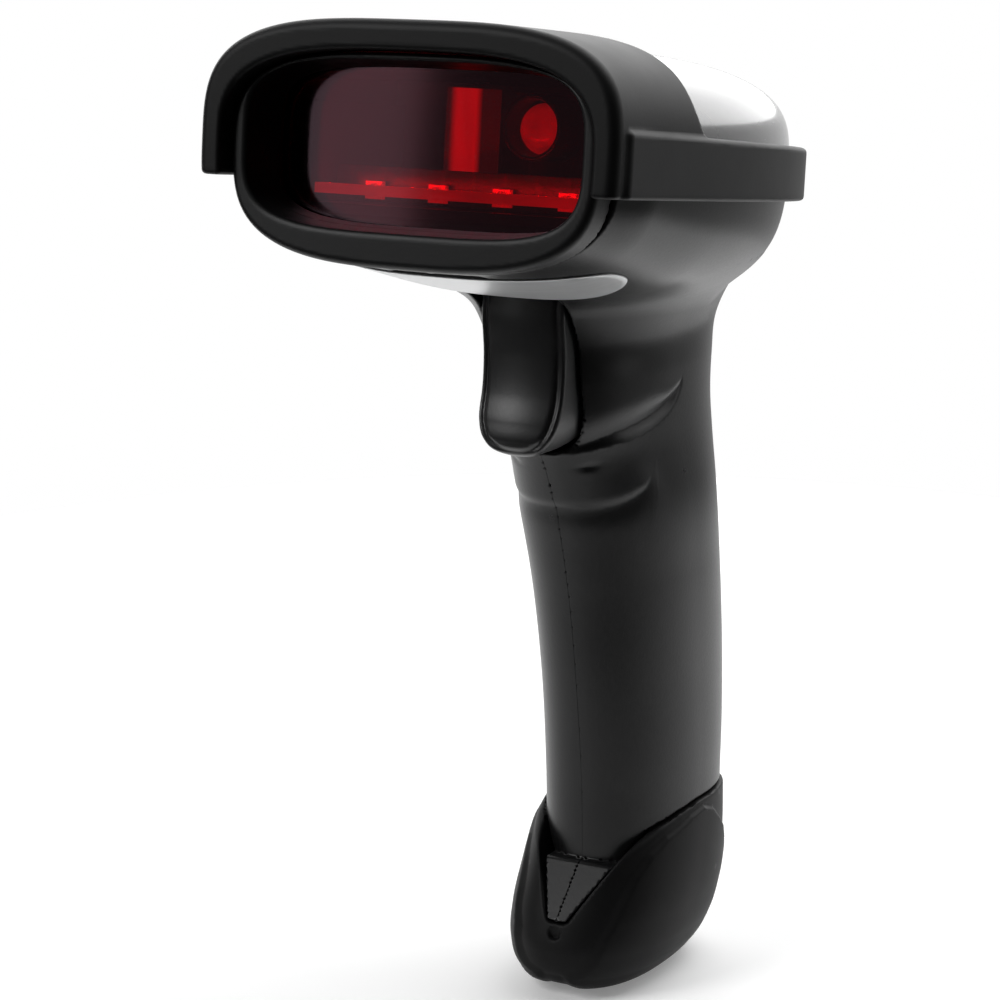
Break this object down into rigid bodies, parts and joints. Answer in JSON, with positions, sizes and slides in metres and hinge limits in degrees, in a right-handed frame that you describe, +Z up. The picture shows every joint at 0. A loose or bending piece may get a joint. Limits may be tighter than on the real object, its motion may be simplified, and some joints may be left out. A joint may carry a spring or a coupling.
{
  "type": "handheld barcode scanner",
  "caption": "Cordless pistol-shaped barcode scanner: nose-up head with a red window under a rubber hood, sprung trigger, leaning handle and a boot with a charging inlet.",
  "frame": {"origin": "middle of the flat under the boot", "axes": "+Z up along the handle, scan window faces -Y, +X is the left of a person holding it"},
  "size_m": [0.074, 0.0996, 0.1682],
  "materials": {
    "shell_plastic": "fine satin texture, black",
    "gloss_cover": "high gloss, black",
    "bumper_rubber": "soft satin, black",
    "bezel_plastic": "satin, black",
    "window_red": "polished, deep red tint",
    "gasket_foam": "matt foam",
    "label_film": "silver film, blank",
    "trigger_plastic": "satin, black",
    "boot_rubber": "satin, black",
    "optics_plastic": "matt, black",
    "mirror_face": "first surface mirror",
    "lens_glass": "polished, coated",
    "lamp_red": "clear red epoxy, lit",
    "circuit_board": "green solder mask",
    "chip_black": "matt moulded",
    "can_steel": "tinned",
    "pin_steel": "bright",
    "switch_nylon": "natural nylon",
    "light_pipe": "clear, polished",
    "cell_wrap": "blue shrink film"
  },
  "bodies": {
    "housing": {"front_bezel": "bezel_plastic", "scan_window": "window_red", "window_gasket": "gasket_foam", "bumper": "bumper_rubber", "top_cover": "gloss_cover", "status_light_pipe": "light_pipe", "left_shell": "shell_plastic", "right_shell": "shell_plastic", "shell_screw_neck": "pin_steel", "shell_screw_middle": "pin_steel", "shell_screw_foot": "pin_steel", "underside_label": "label_film", "trigger_pin": "pin_steel", "trigger_spring": "pin_steel", "switch_board": "circuit_board", "switch_body": "chip_black", "optics_chassis": "optics_plastic", "lamp_board": "circuit_board", "lamp_1": "lamp_red", "lamp_2": "lamp_red", "lamp_3": "lamp_red", "lamp_4": "lamp_red", "light_bar": "lamp_red", "lens_barrel": "optics_plastic", "lens": "lens_glass", "fold_mirror": "mirror_face", "mirror_clip": "optics_plastic", "sensor_board": "circuit_board", "line_sensor": "chip_black", "main_board": "circuit_board", "processor": "chip_black", "beeper": "chip_black", "radio_module": "can_steel", "status_lamp": "lamp_red", "battery": "cell_wrap", "battery_pad": "gasket_foam", "boot": "boot_rubber", "charging_socket": "can_steel", "charging_board": "circuit_board"},
    "trigger_lever": {"trigger": "trigger_plastic"},
    "switch_plunger_body": {"switch_plunger": "switch_nylon"}
  },
  "joints": [
    {"name": "trigger_hinge", "type": "hinge", "parent": "housing", "child": "trigger_lever", "pos_m": [0, -0.0255, 0.126], "axis": [1, 0, 0], "range_deg": [0, 5.5], "stiffness_Nm_per_rad": 0.5, "springref_deg": -2.86, "deforming": ["trigger_spring"]},
    {"name": "switch_slide", "type": "slide", "parent": "housing", "child": "switch_plunger_body", "axis": [0, 1, 0], "range_m": [0, 0.0009]}
  ],
  "couplings": [
    {"joint": "switch_slide", "follows": "trigger_hinge", "m_per_rad": 0.009}
  ]
}
